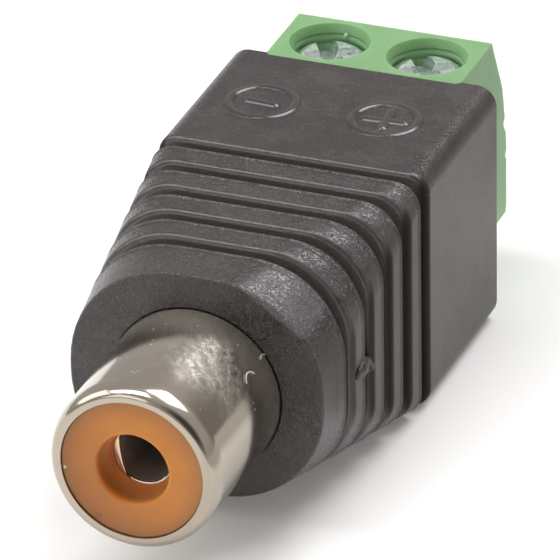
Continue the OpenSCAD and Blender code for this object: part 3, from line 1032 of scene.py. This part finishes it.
def plastic(name, colour, rough, grain=3000.0, depth=0.00001, subsurface=0.0):
    """A mottled plastic of an sRGB colour, with a fine texture."""
    s = Shader(name)
    colour = linear(*colour)
    mottle = s.noise(330.0, 3.0)
    texture = s.noise(grain, 3.0)
    tint = s.blend(mottle.step(0.3, 0.7), tuple(c * PLASTIC_DARK for c in colour), colour)
    return s.set(
        Base_Color=tint,
        Roughness=rough + texture * 0.1,
        Subsurface_Weight=subsurface,
        Subsurface_Radius=(0.0008, 0.0008, 0.0005),
        Subsurface_Scale=1.0,
        Normal=s.bump(texture, depth, 0.4),
    )


def metal(name, colour, rough):
    """A hazy, finely scratched metal of an sRGB colour."""
    s = Shader(name)
    colour = linear(*colour)
    haze = s.noise(1200.0, 4.0, 0.6)
    scratches = s.noise(7000.0, 3.0, 0.6, distortion=1.5)
    tint = s.blend(haze.step(0.35, 0.7), colour, tuple(c * METAL_DARK for c in colour))
    return s.set(
        Base_Color=tint,
        Metallic=1.0,
        Roughness=rough + haze * 0.15,
        Normal=s.bump(scratches, 0.000004, 0.4),
    )


GREEN = plastic("block_green", (127, 170, 120), 0.36, grain=4000.0, depth=0.000008, subsurface=0.6)


# %% The orange insert
def amber():
    s = Shader("insulator_orange")
    x, y, z = s.axes()
    radius = s.node("ShaderNodeVectorMath", {"operation": "LENGTH"}, {
        0: s.node("ShaderNodeCombineXYZ", {}, {"X": x, "Z": z}),
    }, "Value")
    mottle = s.noise(420.0, 4.0, 0.6)
    # darker and browner towards the rim, a painted shade next to the barrel's rim, and towards the
    # lower left of the face
    worn = (x * -0.6 + z * -0.5).step(-0.001, 0.0035)
    rim = radius.step(0.0024, 0.0034)
    marks = s.cells(1100.0).step(0.05, 0.02) * s.noise(500.0, 1.0).step(0.53, 0.6)
    chip = s.near((-0.00332, 0.00012, -0.00044), 0.00005, 0.0001)
    stain = s.near((-0.00172, 0.00012, -0.00268), 0.00006, 0.00022) * s.noise(9000.0).step(0.4, 0.6)
    # the wall of the bore is painted brighter and redder, more so deeper in: painted light in the
    # bore's shade
    bore = (1 - radius.step(0.00172, 0.00182)) * y.step(0.0002, 0.0006)
    deep = y.step(0.0005, 0.0015)
    # the upper half of the ledge lies in the shade of the bore
    shaded = y.step(0.0011, 0.00155) * z.step(-0.0015, -0.0002)
    # the tube round the contact is painted nearly black, as painted shade deep in the bore, and it
    # is dusty
    tube = y.step(0.0024, 0.0032)
    colour = s.painted(
        (193, 123, 37),
        (mottle.step(0.3, 0.75), (200, 130, 46)),
        (rim * 0.5, (158, 98, 56)),
        (worn * 0.7, (146, 86, 38)),
        # the bore's wall, painted light
        (bore * (0.6 + deep * 0.3), (255, 140, 82)),
        (shaded * 0.5, (140, 76, 44)),
        (tube, (40, 34, 30)),
        (marks * 0.6, (120, 66, 30)),
        (stain * 0.7, (96, 40, 26)),
        (chip, (240, 214, 180)),
    )
    return s.set(
        Base_Color=colour,
        Roughness=0.3 + mottle * 0.12,
        Subsurface_Weight=0.7,
        Subsurface_Radius=(0.0015, 0.0006, 0.0003),
        Subsurface_Scale=1.0,
        Normal=s.bump(s.noise(1500.0, 4.0, 0.6), 0.000006, 0.4),
    )


ORANGE = amber()


# %% The contact and the screws
def contact_metal():
    """Bright on the leaves' cut edges, dull with tarnish down the tube."""
    s = Shader("contact_metal")
    x, y, _ = s.axes()
    deep = y.step(0.00162, 0.00178)
    stain = s.noise(1500.0, 3.0)
    # the left leaf is painted tan, a painted reflection of the orange bore
    left = x.step(-0.0003, -0.0007)
    return s.set(
        Base_Color=s.painted(
            (244, 240, 232),
            (stain, (220, 208, 190)),
            (left, (216, 186, 158)),
            (deep, (130, 128, 122)),
        ),
        Metallic=1.0 - deep * 0.85,
        Roughness=0.2 + deep * 0.4 + stain * 0.08,
        Normal=s.bump(s.noise(6000.0, 3.0), 0.000004, 0.4),
    )


def zinc():
    """Bright zinc under a thin bluish film, dented by tumbling with other screws."""
    s = Shader("screw_zinc")
    dents = s.noise(1600.0, 1.5, 0.5, distortion=0.4)
    film = s.noise(1400.0, 4.0, 0.6).step(0.35, 0.7)
    return s.set(
        Base_Color=s.painted((246, 249, 248), (film, (212, 224, 228))),
        Metallic=0.95 - film * 0.25,
        Roughness=0.07 + film * 0.1,
        Normal=s.bump(dents, 0.00009, 0.8),
    )


TIN = contact_metal()
ZINC = zinc()

# %% Dressing the small parts
WHITE = plastic("sleeve_white", (225, 222, 212), 0.5)
RED = plastic("wire_red", (180, 40, 34), 0.45)
BLACK = plastic("wire_black", (34, 34, 36), 0.45)
SOLDER = metal("solder", (200, 202, 204), 0.25)
TAG = metal("tag_metal", (208, 198, 168), 0.3)
CAGE = metal("cage_zinc", (206, 208, 206), 0.3)
RAIL = metal("rail_brass", (206, 184, 128), 0.3)
for node, material in {
    "insulator": ORANGE,
    "centre_contact": TIN,
    "ground_tag": TAG,
    "retaining_sleeve": WHITE,
    "wire_plus": RED,
    "wire_minus": BLACK,
    "solder_contact": SOLDER,
    "solder_tag": SOLDER,
    "solder_rail_plus": SOLDER,
    "solder_rail_minus": SOLDER,
    "terminal_block": GREEN,
    "screw_minus": ZINC,
    "screw_plus": ZINC,
    "cage_minus": CAGE,
    "cage_plus": CAGE,
    "rail_minus": RAIL,
    "rail_plus": RAIL,
}.items():
    finish_node(node, material)
dress(green, GREEN)
dress(contact, TIN)
dress(ledge, ORANGE)
dress(sprue, plastic("sprue_stub", (196, 204, 172), 0.45))
LINT = plastic("lint_grey", (226, 221, 213), 0.7)
for hair in hairs:
    dress(hair, LINT)
for screw in screws:
    dress(screw, ZINC)

# %% [markdown]
# ## Floor and lamps
#
# The object lies on a pale sheet whose material glows faintly near the object, a painted light
# that keeps the shadow under the object open, and which is painted darker to the right, a painted
# shade. What a glossy black thing looks like is mostly what it mirrors, so the lamps were placed by
# working out, for each highlight in the picture, the direction that its surface mirrors. A large
# soft lamp above, a little to the left, draws the lines along the ribs. A second large one, high at
# the back right, gives the broad light on the lip and, with the painted sheen on the right one, the
# sheen on the round corners. A wall of light at the left and a card in front fill the rest. The
# room is grey, and dark in the two directions where the metal mirrors something dark.


# %% Floor
# the floor is a hair below the housing, so that the two surfaces never share a place
FLOOR_GAP, FLOOR_SIZE = 0.00001, 6.0
clear_selection()
floor_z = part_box("housing")[0].z - FLOOR_GAP
bpy.ops.mesh.primitive_plane_add(size=FLOOR_SIZE, location=(0, 0, floor_z))
floor = bpy.context.object
floor.name = "floor"
paper = Shader("floor_paper")
across, along, _ = paper.axes()
speck = paper.noise(40.0, 2.0)
# to the right the floor is painted darker, a painted shade, which the housing's right side mirrors
beyond = (across * 0.936 + along * 0.352).step(0.020, 0.044)
# near the object the floor glows faintly: a painted light that opens the shadow under it
painted_glow = paper.near((0.0, 0.006, 0.0), 0.012, 0.045)
paper.set(
    Base_Color=paper.painted(
        (246, 246, 246), (speck, (243, 243, 243)), (beyond, (186, 185, 183))
    ),
    Roughness=0.9,
    Specular_IOR_Level=0.2,
    Emission_Color=paper.blend(painted_glow, (0.0, 0.0, 0.0), (0.12, 0.118, 0.115)),
    Emission_Strength=1.0,
)
floor.data.materials.append(paper.owner)


# %% Lamps
def softbox(name, place, target, size, radiance):
    """A rectangular lamp of size metres. Its power follows from how bright it should look."""
    light = bpy.data.lights.new(name, "AREA")
    light.shape = "RECTANGLE"
    light.size, light.size_y = size
    light.energy = radiance * math.pi * size[0] * size[1]
    lamp = bpy.data.objects.new(name, light)
    bpy.context.scene.collection.objects.link(lamp)
    lamp.location = place
    lamp.rotation_mode = "QUATERNION"
    lamp.rotation_quaternion = (Vector(place) - Vector(target)).to_track_quat("Z", "Y")
    lamp.visible_camera = False
    print(name, "gives", round(light.energy, 2), "W")


softbox("overhead", (-0.42, -0.10, 1.12), (-0.03, 0.0, 0.0), (0.45, 0.85), 4.7)
softbox("left_wall", (-1.05, -0.15, 0.62), (0.0, 0.01, 0.0), (0.8, 0.7), 1.8)
softbox("front_card", (-0.42, -0.92, 0.55), (0.0, 0.0, 0.0), (0.6, 0.7), 1.3)
softbox("back_window", (0.26, 0.51, 0.91), (0.0, 0.01, 0.0), (0.6, 0.6), 6.2)

# %% Room
# the room is grey all round, and darker where something dark stood: a direction, the cosines
# between which it fades in, and its colour
GREY = (0.49, 0.475, 0.465)
DARK_PLACES = (
    ((0.66, -0.56, 0.50), 0.80, 0.96, (0.10, 0.08, 0.07)),
    ((0.525, 0.84, 0.139), 0.89, 0.985, (0.26, 0.24, 0.225)),
)
room = Shader("studio", "worlds", "Background", "Generated")
tone = GREY
for direction, low, high, dark in DARK_PLACES:
    facing = room.node(
        "ShaderNodeVectorMath", {"operation": "DOT_PRODUCT"}, {0: room.place, 1: direction}, "Value"
    )
    there = room.node(
        "ShaderNodeMapRange", {}, {"Value": facing, "From Min": low, "From Max": high}
    )
    tone = room.blend(there, tone, dark)
bpy.context.scene.world = room.set(Color=tone)
bpy.context.scene.view_settings.view_transform = "Standard"
